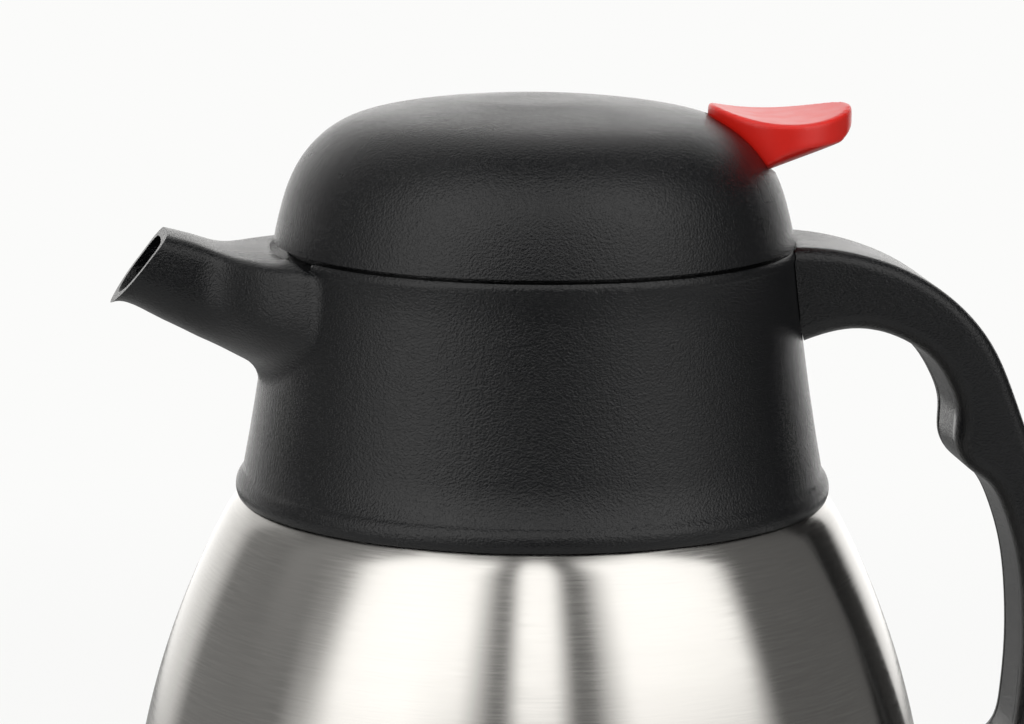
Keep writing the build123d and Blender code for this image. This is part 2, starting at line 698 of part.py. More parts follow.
def window():
    """Wedge that opens one window through the cage, facing -X."""
    half = math.radians(WINDOW_ARC / 2)
    far = 1.2 * CAGE_R
    wedge = Polyline((0, 0), (-far, -far * math.tan(half)), (-far, far * math.tan(half)), close=True)
    low = down(WINDOW_TOP_DEPTH + WINDOW_HEIGHT)
    opening = extrude(Pos(0, 0, low) * make_face(wedge), WINDOW_HEIGHT)
    return opening - ring(0, CAGE_R - 2 * CAGE_WALL, low, low + WINDOW_HEIGHT)


def seal_low():
    return down(CORE_END_DEPTH) - SEAL_HEIGHT


def stopper_seal():
    """Silicone ring that closes the flask's mouth round the stopper's tip."""
    outer = MOUTH_R - SEAL_CLEAR
    third = SEAL_HEIGHT / 3
    groove = ring(outer - SEAL_HEIGHT / 4, MOUTH_R, seal_low() + third, seal_low() + 2 * third)
    return ring(TIP_R, outer, seal_low(), seal_low() + SEAL_HEIGHT) - groove


def lid_gasket():
    """Silicone ring under the deck that closes the pouring chamber's top."""
    outer = SEAT_BORE_R - GASKET_CLEAR
    high = deck_low()
    low = high - GASKET_HEIGHT
    solid = ring(outer - GASKET_WIDTH, outer, low, high)
    foot = ring(SEAT_BORE_R - LEDGE_WIDTH, outer, down(LEDGE_DEPTH) + TOUCH, low)
    return solid + foot


def oring_mean_r():
    return ROD_R + ROD_CLEAR + ORING_R


def rod_o_ring():
    """Rubber O-ring in the guide's pocket."""
    z = deck_z() + BOSS_HEIGHT - RETAINER_THICK - ORING_R
    return Pos(0, 0, z) * Torus(oring_mean_r(), ORING_R)


def seal_retainer():
    """Washer pressed into the pocket over the O-ring."""
    high = deck_z() + BOSS_HEIGHT
    return ring(ROD_R + SIDE_CLEAR, oring_mean_r() + ORING_R, high - RETAINER_THICK, high)


# ---- dome ----------------------------------------------------------------------------------
def pad_plan(grow):
    """Plan outline of the thumb pad, grown all round."""
    return Ellipse(PAD_LONG / 2 + grow, PAD_WIDE / 2 + grow)


def lid_dome():
    """Black dome over the mechanism, with a slot for the lever at the back."""
    solid = dome_body(0) - dome_body(DOME_WALL)
    base = up(LID_GAP / 2)
    solid += ring(UPSTAND_R + COVER_CLEAR, RIM_R - DOME_WALL / 2, base, deck_z() + UPSTAND_HEIGHT)
    slot = extrude(Pos(PAD_X, 0, deck_z()) * pad_plan(SLOT_GAP), 2 * DOME_HEIGHT)
    return solid - (slot & keel(SLOT_GAP, SLOT_DROP))


# ---- lever ---------------------------------------------------------------------------------
def pad_top(x):
    """Height of the pad's dished top."""
    return up(PAD_HEIGHT + PAD_DISH * ((x - PAD_X) / (PAD_LONG / 2)) ** 2)


def keel(grow, drop):
    """The lever's rounded underside seen from behind, extruded outwards and upwards."""
    half = PAD_WIDE / 2 + grow
    side = up(KEEL_HEIGHT + KEEL_ROUND) - drop - KEEL_RISE * (PIVOT_X + HEEL_REACH)
    high = up(2 * DOME_HEIGHT)
    bottom = Plane.YZ * Pos(0, side) * EllipticalCenterArc((0, 0), half, KEEL_ROUND, 180, arc_size=180)
    walls = chain([bottom @ 1, Vector(0, half, high), Vector(0, -half, high), bottom @ 0])
    return extrude(Face(Wire([bottom] + walls)), amount=2 * PAD_X, dir=(1, 0, KEEL_RISE))


def lever_hull():
    """The part of the lever that stands out of the dome, under the dished pad."""
    front, back = PAD_X - PAD_LONG / 2 - SLOT_GAP, PAD_X + PAD_LONG / 2 + SLOT_GAP
    high, low = up(2 * DOME_HEIGHT), deck_z()
    hull = extrude(Pos(PAD_X, 0, low) * pad_plan(0), 2 * DOME_HEIGHT) & keel(0, 0)
    dish = ThreePointArc(at(front, pad_top(front)), at(PAD_X, pad_top(PAD_X)), at(back, pad_top(back)))
    hull -= prism([dish] + chain([dish @ 1, at(back, high), at(front, high), dish @ 0]), 2 * PAD_WIDE)
    heel = at(PIVOT_X + HEEL_REACH, up(KEEL_HEIGHT))
    lip = at(back, pad_top(back) - PAD_EDGE)
    under = ThreePointArc(heel, at(PAD_X + PAD_LONG * 0.32, up(KEEL_HEIGHT) + 4.2), lip)
    hull -= prism([under] + chain([lip, at(back, low), at(heel.X, low), heel]), 2 * PAD_WIDE)
    saddle = at(PIVOT_X + EAR_R + 2 * SIDE_CLEAR, up(PIVOT_HEIGHT))
    crest = at(PIVOT_X, up(PIVOT_HEIGHT) + EAR_R + 2 * SIDE_CLEAR)
    shelf = at(front, pad_top(front) - 2 * PAD_EDGE)
    inside = chain([heel, saddle, crest, shelf, at(front, low), at(heel.X, low), heel])
    hull -= prism(inside, 2 * PAD_WIDE)
    rim = [e for e in hull.edges() if e.length > 2 * PAD_LONG]
    return fillet(rim, PAD_RIM)


def lever():
    """Red thumb lever: a dished pad over the dome's slot, a hub, and a fork for the rod."""
    pivot = up(PIVOT_HEIGHT)
    stem = prism(chain([
        at(PIVOT_X - HUB_R, pivot), at(PIVOT_X + HUB_R, pivot), at(PIVOT_X + HEEL_REACH, pivot + HUB_R),
        at(PIVOT_X, pivot + 2 * HUB_R), at(PIVOT_X - 2 * HUB_R, pivot + HUB_R), at(PIVOT_X - HUB_R, pivot),
    ]), HUB_WIDTH)
    solid = lever_hull() + stem + cross_pin(PIVOT_X, pivot, HUB_R, HUB_WIDTH)
    nose_z = up(ROD_HEAD_HEIGHT) - TOUCH - NOSE_R
    half = PIVOT_X / 2
    arm = prism(chain([
        at(PIVOT_X, pivot - HUB_R), at(PIVOT_X - HUB_R, pivot + HUB_R), at(half, nose_z + ARM_HEIGHT / 2),
        at(0, nose_z + NOSE_R / 2), at(0, nose_z - NOSE_R), at(half, nose_z - ARM_HEIGHT / 2),
        at(PIVOT_X, pivot - HUB_R),
    ]), HUB_WIDTH)
    solid += arm + cross_pin(0, nose_z, NOSE_R, HUB_WIDTH)
    gap = TINE_GAP / 2
    solid -= block((-HUB_WIDTH, ROD_HEAD_R + 2 * NOSE_R), (-gap, gap), (deck_z(), up(DOME_HEIGHT)))
    return solid - cross_pin(PIVOT_X, pivot, PIN_R + PIN_CLEAR, 2 * HUB_WIDTH)


# ---- valve ---------------------------------------------------------------------------------
def plug_low():
    return plate_z() + TOUCH


def carrier_low():
    return plug_low() + PLUG_THICK


def carrier_top():
    return carrier_low() + CARRIER_THICK


def valve_plug():
    """Silicone disc that closes the hole in the stopper's floor."""
    return ring(STUD_R, PLUG_R, plug_low(), carrier_low())


def plug_carrier():
    """Moulded carrier over the plug, with a stud down through it."""
    solid = ring(0, CARRIER_R, carrier_low(), carrier_top())
    solid += ring(0, STUD_R, plug_low() - CLIP_THICK, carrier_low())
    return solid - ring(0, ROD_R, carrier_low(), carrier_top())


def plug_clip():
    """Clip on the stud's end that holds the plug up against its carrier."""
    return ring(STUD_R, CLIP_R, plug_low() - CLIP_THICK, plug_low())


def valve_rod():
    """Steel rod from the plug's carrier up through the deck to the lever's fork."""
    return ring(0, ROD_R, carrier_low(), up(ROD_HEAD_HEIGHT) + ROD_HEAD_THICK)


def rod_head():
    """Collar pressed on the rod's end, which the fork lifts."""
    return ring(ROD_R, ROD_HEAD_R, up(ROD_HEAD_HEIGHT), up(ROD_HEAD_HEIGHT) + ROD_HEAD_THICK)


def return_spring():
    """Coil spring round the rod that pushes the plug down on its seat."""
    low, high = carrier_top() + SPRING_WIRE, deck_low() - SPRING_WIRE
    path = Helix((high - low) / SPRING_TURNS, high - low, SPRING_R)
    section = Plane(origin=path @ 0, x_dir=(1, 0, 0), z_dir=path % 0) * Circle(SPRING_WIRE)
    return Pos(0, 0, low) * sweep(section, path=path, is_frenet=True)


# ---- handle --------------------------------------------------------------------------------
def outer_point(station, inset):
    """Point on a station's line, `inset` inside the handle's outer skin."""
    outer = at(station[0], down(station[1]))
    inner = at(station[2], down(station[3]))
    return outer + (inner - outer).normalized() * inset


def inner_point(station, inset):
    """Point on a station's line, `inset` inside the handle's inner skin."""
    outer = at(station[0], down(station[1]))
    inner = at(station[2], down(station[3]))
    return inner + (outer - inner).normalized() * inset


def handle_body():
    """The whole handle, filled, before it is cut to the collar and the steel."""
    outer_end, inner_end = [at(steel_r(down(depth)) - FOOT_CORNER, down(depth)) for depth in ARM_END_DEPTHS]
    outer = Spline(*[outer_point(s, 0) for s in HANDLE_STATIONS], outer_end)
    inner = Spline(*[inner_point(s, 0) for s in HANDLE_STATIONS], inner_end)
    side = prism([outer, Line(outer_end, inner_end), inner, Line(inner @ 0, outer @ 0)], 2 * HANDLE_WIDTH_TOP)
    top, grip = HANDLE_WIDTH_TOP / 2, HANDLE_WIDTH_GRIP / 2
    high, low, root = up(DOME_HEIGHT), down(ARM_LOW_DEPTH), down(RAIL_TOP_DEPTH)
    right = [Vector(0, top, root), Vector(0, grip, down(GRIP_DEPTH))]
    left = [Vector(0, -grip, down(GRIP_DEPTH)), Vector(0, -top, root)]
    below, above = Vector(0, 0, -1), Vector(0, 0, 1)
    edges = [Spline(*right, tangents=[below, below])]
    edges += chain([right[1], Vector(0, grip, low), Vector(0, -grip, low), left[0]])
    edges += [Spline(*left, tangents=[above, above])]
    edges += chain([left[1], Vector(0, -top, high), Vector(0, top, high), right[0]])
    solid = side & extrude(Face(Wire(edges)), amount=4 * RIM_R, dir=(1, 0, 0))
    for radius, outermost in ((OUTER_EDGE, True), (INNER_EDGE, False)):
        skins = [f for f in solid.faces() if f.geom_type != GeomType.PLANE and abs(f.center().Y) < 1]
        skin = sorted(skins, key=lambda f: f.bounding_box().max.X)[-1 if outermost else 0]
        rims = [e for e in skin.edges() if abs(e.center().Y) > grip / 2]
        solid = fillet(rims, radius)
    return solid


def cover_band(low_inset, high_inset, width):
    """Band along the covered stretch of the grip, between two depths inside its inner skin."""
    covered = HANDLE_STATIONS[COVERED[0]:COVERED[1]]
    skin = Spline(*[inner_point(s, low_inset) for s in covered])
    back = Spline(*[high_inset(s) for s in reversed(covered)])
    return prism([skin, Line(skin @ 1, back @ 0), back, Line(back @ 1, skin @ 0)], width)


def cover_width():
    return HANDLE_WIDTH_GRIP - 2 * COVER_EDGE


def handle():
    """Black handle moulding, hollow behind its inner cover, on the collar's rail and the bracket."""
    solid = handle_body()
    solid -= cover_band(-COVER_THICK, lambda s: inner_point(s, COVER_THICK), cover_width())
    solid -= cover_band(0, lambda s: outer_point(s, HANDLE_WALL), cover_width() - 2 * COVER_LEDGE)
    solid -= collar_envelope(RAIL_CLEAR) + handle_rail(RAIL_CLEAR)
    solid -= ring(0, RIM_R + LIP_OUT, down(LID_GAP / 2), up(DOME_HEIGHT))
    solid -= Pos(0, 0, -RAIL_LENGTH) * handle_rail(RAIL_CLEAR)
    solid -= flask_body(-HANDLE_GAP, NECK_R, NECK_FILLET, down(RIM_DEPTH))
    solid -= bracket_form(BRACKET_ROOM)
    hole_top = tab_z() + BRACKET_THICK + SCREW_R
    solid -= upright(screw_x(), SCREW_R + SCREW_CLEAR, down(SCREW_SEAT_DEPTH), hole_top)
    return solid - upright(screw_x(), SCREW_HEAD_R + SCREW_CLEAR, down(ARM_LOW_DEPTH), down(SCREW_SEAT_DEPTH))


def handle_cover():
    """Inner cover that closes the hollow of the grip."""
    band = cover_band(-COVER_THICK, lambda s: inner_point(s, COVER_THICK), cover_width() - 2 * COVER_CLEAR)
    return band & handle_body()


def tab_z():
    return down(BRACKET_DEPTH) - BRACKET_THICK


def screw_x():
    return steel_r(tab_z()) + SCREW_REACH


def bracket_form(room):
    """Tab and welded plate of the bracket, or the room for them inside the arm."""
    wide = (-BRACKET_WIDTH / 2 - room, BRACKET_WIDTH / 2 + room)
    root = steel_r(tab_z())
    middle = tab_z() + BRACKET_THICK / 2
    tall, thin = BRACKET_PLATE / 2 + room, BRACKET_THICK / 2 + room
    tab = block((root - FOOT_CORNER, root + BRACKET_LENGTH + room), wide, (middle - thin, middle + thin))
    plate = block((root - FOOT_CORNER, root + BRACKET_THICK + room), wide, (middle - tall, middle + tall))
    return tab + plate


def handle_bracket():
    """Steel bracket welded to the body, with a tapped tab inside the handle's lower arm."""
    solid = bracket_form(0) - flask_body(0, NECK_R, NECK_FILLET, down(RIM_DEPTH))
    return solid - upright(screw_x(), SCREW_R, down(ARM_LOW_DEPTH), PARTING_Z)


def handle_screw():
    """Screw up through the arm into the bracket's tab."""
    seat = down(SCREW_SEAT_DEPTH)
    solid = upright(screw_x(), SCREW_R, seat, tab_z() + BRACKET_THICK + SCREW_CLEAR)
    solid += upright(screw_x(), SCREW_HEAD_R, seat - SCREW_HEAD_THICK, seat)
    slot = SCREW_HEAD_R / 4
    recess = (seat - SCREW_HEAD_THICK, seat - SCREW_HEAD_THICK / 2)
    for width, depth in ((slot, 2 * slot), (2 * slot, slot)):
        solid -= block((screw_x() - width, screw_x() + width), (-depth, depth), recess)
    return solid


def screw_cap():
    """Plug that hides the screw's head."""
    plug = upright(screw_x(), SCREW_HEAD_R, down(ARM_LOW_DEPTH), down(SCREW_SEAT_DEPTH) - SCREW_HEAD_THICK)
    return plug & handle_body()


PIECES = [
    outer_shell, inner_liner, shell_base, vacuum_seal, getter, base_cap, base_pad,
    collar, neck_gasket, handle, handle_cover, handle_bracket, handle_screw, screw_cap,
    stopper_body, stopper_seal, lid_gasket, lid_dome, lever_pin, rod_o_ring, seal_retainer,
    lever, valve_rod, rod_head, plug_carrier, valve_plug, plug_clip, return_spring,
]

os.makedirs("parts", exist_ok=True)
for piece in PIECES:
    export_step(piece(), f"parts/{piece.__name__}.step")
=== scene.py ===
import math

import bmesh
import bpy
from mathutils import Matrix, Vector


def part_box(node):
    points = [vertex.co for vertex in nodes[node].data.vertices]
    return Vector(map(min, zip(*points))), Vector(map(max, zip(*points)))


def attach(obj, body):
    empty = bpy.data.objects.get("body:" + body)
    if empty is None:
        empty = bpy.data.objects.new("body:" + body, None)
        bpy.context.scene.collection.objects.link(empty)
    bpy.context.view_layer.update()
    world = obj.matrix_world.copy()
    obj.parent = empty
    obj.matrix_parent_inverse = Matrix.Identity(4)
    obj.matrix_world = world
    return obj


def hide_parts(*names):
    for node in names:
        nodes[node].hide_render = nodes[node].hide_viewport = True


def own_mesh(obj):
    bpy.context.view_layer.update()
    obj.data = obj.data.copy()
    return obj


# A thermal carafe: brushed steel flask, black collar with spout, black handle, and a screw-in
# domed stopper with a red thumb lever. The frame comes in packed; each section below dresses
# the pieces in the order they are put together. Lengths are millimetres until they reach a
# mesh, unless a comment says metres.

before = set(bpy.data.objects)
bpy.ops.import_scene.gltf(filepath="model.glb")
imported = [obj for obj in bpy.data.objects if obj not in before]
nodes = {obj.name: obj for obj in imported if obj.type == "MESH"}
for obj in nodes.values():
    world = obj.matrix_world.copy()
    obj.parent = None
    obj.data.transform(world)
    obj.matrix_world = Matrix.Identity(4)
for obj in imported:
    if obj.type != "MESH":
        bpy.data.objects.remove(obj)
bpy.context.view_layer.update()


# ---- Studio -------------------------------------------------------------------------------
# A pale round table under a light tent. The tent's panels are a world that changes with
# direction: white panels left and right of the camera, darker cloth between them and at the
# sides. The lamps light the matt surfaces, and reflections show the tent alone.
MM = 0.001

FRAME_PIXELS = 1024
SENSOR_WIDTH = 36.0
FOCAL_PIXELS = 4500.0
NEAREST, FARTHEST = 0.05, 20        # metres
CAMERA_PLACE = (-109.44, -778.73, 324.91)
CAMERA_AIM = (-6.26, -18.05, 186.66)
CAMERA_ROLL = 0.42                  # degrees
CAMERA_AZIMUTH = -8.0               # degrees from -Y towards +X

# The brightness of the tent's cloth by azimuth, in degrees from straight behind the camera
# towards its right. Two stops of one brightness hold a panel, and the light falls off between
# panels.
TENT_HIGH = [
    (-180, 0.38), (-150, 0.40), (-136, 0.36),   # backdrop, dimmer higher up
    (-130, 0.14), (-110, 0.12), (-100, 0.17),   # left side, unlit cloth
    (-87, 0.15), (-76, 0.25),
    (-66, 1.0), (-24, 1.0),                     # left softbox
    (-13, 0.16), (-9, 0.16),
    (-3, 1.0), (8, 1.0),                        # strip of window over the camera
    (15, 0.12), (21, 0.12),
    (27, 0.55), (34, 1.0), (76, 1.0),           # right softbox
    (84, 0.08), (127, 0.07),                    # right side, darker cloth
    (130, 0.0), (142, 0.0),                     # black flag
    (147, 0.36), (180, 0.38),                   # backdrop again
]
TENT_LOW = [
    (-180, 0.95), (-160, 0.75), (-138, 0.45),   # backdrop
    (-128, 0.13), (-84, 0.12),
    (-62, 0.82), (-40, 0.86),                   # foot of the left softbox
    (-22, 0.12), (-8, 0.02), (8, 0.02), (22, 0.10),
    (36, 0.48), (72, 0.50),                     # foot of the right softbox, half hidden
    (84, 0.07), (127, 0.07),
    (130, 0.0), (142, 0.0),                     # black flag
    (150, 0.60), (160, 0.85), (180, 0.95),      # backdrop again
]
TENT_TOP = 0.05
# sines of the elevation between which one ring of cloth gives way to the next
LOW_TO_HIGH, HIGH_TO_TOP = (0.20, 0.38), (0.88, 0.98)
CLOTH_TINT = (1.0, 0.99, 0.975)
TENT_STRENGTH = 1.6
ROOM_STRENGTH = 0.55

PAPER_WHITE, TABLE_WHITE = "#FBFBFA", "#F2F2F1"
TABLE_R, SHADE_R = 0.8, 0.25        # metres; the table glows more and more outside SHADE_R
TABLE_SIDES = 96
GLOW_SHARE = 0.6                    # how much of the table's middle glows by itself
SHEEN_SHARE = 0.15                  # how bright reflections find that glow

# name, place, aim and size in metres, and power in watts
LAMPS = [
    ("key_left", (-0.9, -1.0, 0.75), (0, 0, 0.15), (0.7, 1.0), 9),
    ("fill_right", (1.0, -0.9, 0.6), (0, 0, 0.15), (0.7, 1.0), 7),
    ("top", (0, 0.1, 1.3), (0, 0, 0.1), (1.0, 1.0), 7),
]


def linear(code):
    """Linear RGBA of an sRGB hex colour."""
    shares = [int(code[i:i + 2], 16) / 255 for i in (1, 3, 5)]
    return [c / 12.92 if c <= 0.04045 else ((c + 0.055) / 1.055) ** 2.4 for c in shares] + [1.0]


def add_node(tree, kind, settings=None, **links):
    """Adds a shader node and sets its properties and inputs. An input goes by its name, or by
    its number as i0, i1 and so on. It takes a value, a socket, or a node, whose first output
    then feeds it."""
    node = tree.nodes.new(kind)
    for name, value in (settings or {}).items():
        setattr(node, name, value)
    for name, value in links.items():
        numbered = name[0] == "i" and name[1:].isdigit()
        socket = node.inputs[int(name[1:]) if numbered else name.replace("_", " ")]
        if isinstance(value, bpy.types.Node):
            value = value.outputs[0]
        if isinstance(value, bpy.types.NodeSocket):
            tree.links.new(value, socket)
        else:
            socket.default_value = value
    return node


def new_material(name):
    """Material with an empty node tree."""
    material = bpy.data.materials.new(name)
    material.use_nodes = True
    material.node_tree.nodes.clear()
    return material


def finished(name, shape):
    """Object at the origin from a bmesh whose place is already in its points, in metres."""
    mesh = bpy.data.meshes.new(name)
    shape.to_mesh(mesh)
    shape.free()
    piece = bpy.data.objects.new(name, mesh)
    bpy.context.scene.collection.objects.link(piece)
    return piece


def facing(place, aim):
    """Matrix of a camera or lamp that stands in one place and is aimed at another."""
    look = (aim - place).to_track_quat("-Z", "Y")
    return Matrix.Translation(place) @ look.to_matrix().to_4x4()


def place_camera():
    data = bpy.data.cameras.new("studio_camera")
    data.sensor_width = SENSOR_WIDTH
    data.lens = FOCAL_PIXELS * SENSOR_WIDTH / FRAME_PIXELS
    data.clip_start, data.clip_end = NEAREST, FARTHEST
    camera = bpy.data.objects.new("studio_camera", data)
    roll = Matrix.Rotation(math.radians(CAMERA_ROLL), 4, "Z")
    camera.matrix_world = facing(Vector(CAMERA_PLACE) * MM, Vector(CAMERA_AIM) * MM) @ roll
    bpy.context.scene.collection.objects.link(camera)
    bpy.context.scene.camera = camera


def cloth_ring(tree, share, panels):
    """One ring of the tent's cloth: a ramp round the azimuth with the panels as its stops."""
    cloth = add_node(tree, "ShaderNodeValToRGB", Fac=share)
    stops = cloth.color_ramp.elements
    at_end = {0: 0, len(panels) - 1: -1}        # a new ramp has its two end stops already
    for i, (degrees, bright) in enumerate(panels):
        stop = stops[at_end[i]] if i in at_end else stops.new((degrees + 180) / 360)
        stop.color = [bright * tint for tint in CLOTH_TINT] + [1]
    return cloth.outputs[0]


def hang_tent():
    """The world: reflections see the tent, matt surfaces an even room, the camera white paper."""
    world = bpy.data.worlds.new("light_tent")
    bpy.context.scene.world = world
    world.use_nodes = True
    tree = world.node_tree
    tree.nodes.clear()
    way = add_node(tree, "ShaderNodeTexCoord").outputs["Generated"]
    turned = add_node(tree, "ShaderNodeVectorRotate", {"rotation_type": "Z_AXIS"}, Vector=way,
                      Angle=math.radians(-CAMERA_AZIMUTH))
    parts = add_node(tree, "ShaderNodeSeparateXYZ", Vector=turned).outputs
    back = add_node(tree, "ShaderNodeMath", {"operation": "MULTIPLY"}, i0=parts["Y"], i1=-1.0)
    angle = add_node(tree, "ShaderNodeMath", {"operation": "ARCTAN2"}, i0=parts["X"], i1=back)
    share = add_node(tree, "ShaderNodeMapRange", Value=angle, From_Min=-math.pi,
                     From_Max=math.pi)
    colour, high = [cloth_ring(tree, share, panels) for panels in (TENT_LOW, TENT_HIGH)]
    top = (TENT_TOP, TENT_TOP, TENT_TOP, 1)
    for above, (start, end) in ((high, LOW_TO_HIGH), (top, HIGH_TO_TOP)):
        rise = add_node(tree, "ShaderNodeMapRange", {"interpolation_type": "SMOOTHSTEP"},
                        Value=parts["Z"], From_Min=start, From_Max=end)
        mix = add_node(tree, "ShaderNodeMix", {"data_type": "RGBA"}, i0=rise, i6=colour,
                       i7=above)
        colour = mix.outputs[2]
    white = linear(PAPER_WHITE)
    tent = add_node(tree, "ShaderNodeBackground", Color=colour, Strength=TENT_STRENGTH)
    room = add_node(tree, "ShaderNodeBackground", Color=white, Strength=ROOM_STRENGTH)
    paper = add_node(tree, "ShaderNodeBackground", Color=white, Strength=1.0)
    rays = add_node(tree, "ShaderNodeLightPath").outputs
    lit = add_node(tree, "ShaderNodeMixShader", Fac=rays["Is Glossy Ray"], i1=room, i2=tent)
    seen = add_node(tree, "ShaderNodeMixShader", Fac=rays["Is Camera Ray"], i1=lit, i2=paper)
    add_node(tree, "ShaderNodeOutputWorld", Surface=seen)


def lay_table():
    """Round table top of pale paper: it takes the shadow near the flask, and is as bright as the
    backdrop at its edge."""
    shape = bmesh.new()
    bmesh.ops.create_circle(shape, cap_ends=True, segments=TABLE_SIDES, radius=TABLE_R)
    floor = finished("table", shape)
    material = new_material("matt background paper")
    tree = material.node_tree
    place = add_node(tree, "ShaderNodeTexCoord").outputs["Object"]
    reach = add_node(tree, "ShaderNodeVectorMath", {"operation": "LENGTH"}, i0=place)
    glowing = add_node(tree, "ShaderNodeMapRange", {"interpolation_type": "SMOOTHSTEP"},
                       Value=reach.outputs["Value"], From_Min=SHADE_R, From_Max=TABLE_R,
                       To_Min=GLOW_SHARE, To_Max=1.0)
    rays = add_node(tree, "ShaderNodeLightPath").outputs
    dimmed = add_node(tree, "ShaderNodeMath", {"operation": "MULTIPLY"},
                      i0=rays["Is Glossy Ray"], i1=SHEEN_SHARE)
    either = add_node(tree, "ShaderNodeMath", {"operation": "MAXIMUM"},
                      i0=rays["Is Camera Ray"], i1=dimmed)
    diffuse = add_node(tree, "ShaderNodeBsdfDiffuse", Color=linear(TABLE_WHITE))
    glow = add_node(tree, "ShaderNodeEmission", Color=linear(PAPER_WHITE), Strength=either)
    mixed = add_node(tree, "ShaderNodeMixShader", Fac=glowing, i1=diffuse, i2=glow)
    add_node(tree, "ShaderNodeOutputMaterial", Surface=mixed)
    floor.data.materials.append(material)


def hang_lamp(name, place, aim, size, power):
    """Soft rectangular lamp, aimed at a point."""
    data = bpy.data.lights.new(name, "AREA")
    data.shape = "RECTANGLE"
    data.size, data.size_y = size
    data.energy = power
    lamp = bpy.data.objects.new(name, data)
    lamp.matrix_world = facing(Vector(place), Vector(aim))
    lamp.visible_glossy = False
    bpy.context.scene.collection.objects.link(lamp)


place_camera()
hang_tent()
lay_table()
for lamp in LAMPS:
    hang_lamp(*lamp)
bpy.context.scene.view_settings.view_transform = "Standard"


# ---- Flask body ---------------------------------------------------------------------------
# The outer shell is drawn and spun from stainless sheet 0.6 mm thick, then brushed on a lathe,
# so its scratches run round it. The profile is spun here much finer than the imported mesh.
BELLY_R, BELLY_Z = 72.3, 87.0
UPPER_ARC, LOWER_ARC = 145.87, 300.0
SHOULDER_LEAN, SHOULDER_ARC = 28.507, 12.0      # degrees, radius
FOOT_CORNER, FLOOR_STEEL = 8.0, 2.6
SHELL_WALL = 0.6
NECK_R, NECK_TOP, NECK_FILLET = 38.0, 171.5, 3.0
BASE_OPENING_R = 48.0
FULL_TURN_STEPS = 256
CORNER_STEPS, LOWER_STEPS, UPPER_STEPS, SHOULDER_STEPS, FILLET_STEPS = 10, 20, 40, 16, 8
SPUN_MERGE = 1e-7                   # metres between two points that are one
STEEL_CREASE = 40                   # degrees past which an edge stays sharp

STEEL_COLOUR = "#DAD8D4"
# Real scratches are about 0.15 mm apart and too fine to show, so the ones drawn are 0.35 mm
# apart and about a centimetre long. Bands 4 mm apart and far longer vary them a little.
SCRATCHES_ROUND, SCRATCHES_UP = 6.0, 2900       # to a radian, to a metre
BANDS_ROUND, BANDS_UP = 0.15, 260               # as a share of the scratches, to a metre
SCRATCH_DEPTH = 0.02
NOISE_SPAN = {"From_Min": 0.3, "From_Max": 0.7}         # where nearly all of a noise lies


def arc_points(centre, radius, start, end, count):
    """Points of a profile arc between two angles in degrees."""
    turns = [math.radians(start + (end - start) * i / count) for i in range(count + 1)]
    return [(centre[0] + radius * math.cos(t), centre[1] + radius * math.sin(t)) for t in turns]


def spin_profile(points, steps):
    """Turns a closed profile of (radius, height) in millimetres round the upright axis."""
    shape = bmesh.new()
    dots = [shape.verts.new((r * MM, 0, z * MM)) for r, z in points]
    for a, b in zip(dots, dots[1:] + dots[:1]):
        shape.edges.new((a, b))
    bmesh.ops.spin(shape, geom=shape.verts[:] + shape.edges[:], cent=(0, 0, 0), axis=(0, 0, 1),
                   angle=2 * math.pi, steps=steps, use_merge=True)
    bmesh.ops.remove_doubles(shape, verts=shape.verts, dist=SPUN_MERGE)
    bmesh.ops.recalc_face_normals(shape, faces=shape.faces)
    return shape


def steel_profile(inset):
    """The flask's wall from its floor up to the neck, `inset` inside the outer steel."""
    lower = (BELLY_R - LOWER_ARC, BELLY_Z)
    upper = (BELLY_R - UPPER_ARC, BELLY_Z)
    lean = math.radians(SHOULDER_LEAN)
    span = UPPER_ARC - SHOULDER_ARC
    shoulder = (upper[0] + span * math.cos(lean), upper[1] + span * math.sin(lean))
    floor = FLOOR_STEEL + inset
    reach = LOWER_ARC - FOOT_CORNER
    turn = math.degrees(math.asin((FLOOR_STEEL + FOOT_CORNER - BELLY_Z) / reach))
    corner = (lower[0] + reach * math.cos(math.radians(turn)), FLOOR_STEEL + FOOT_CORNER)
    shelf = shoulder[1] + SHOULDER_ARC
    fillet = (NECK_R + NECK_FILLET, shelf + NECK_FILLET)
    points = [(BASE_OPENING_R, floor)]
    points += arc_points(corner, FOOT_CORNER - inset, -90, turn, CORNER_STEPS)
    points += arc_points(lower, LOWER_ARC - inset, turn, 0, LOWER_STEPS)[1:]
    points += arc_points(upper, UPPER_ARC - inset, 0, SHOULDER_LEAN, UPPER_STEPS)[1:]
    points += arc_points(shoulder, SHOULDER_ARC - inset, SHOULDER_LEAN, 90, SHOULDER_STEPS)[1:]
    points += arc_points(fillet, NECK_FILLET + inset, -90, -180, FILLET_STEPS)
    return points + [(NECK_R - inset, NECK_TOP)]


def shade(piece, degrees):
    """Smooth shading that keeps edges sharper than the angle."""
    mesh = piece.data
    mesh.shade_smooth()
    mesh.set_sharp_from_angle(angle=math.radians(degrees))
    return piece


def dress(piece, material, body, node):
    """Gives a piece its material, ties it to its body, and hides the imported node it stands for.
    """
    piece.data.materials.clear()
    piece.data.materials.append(material)
    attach(piece, body)
    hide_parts(node)


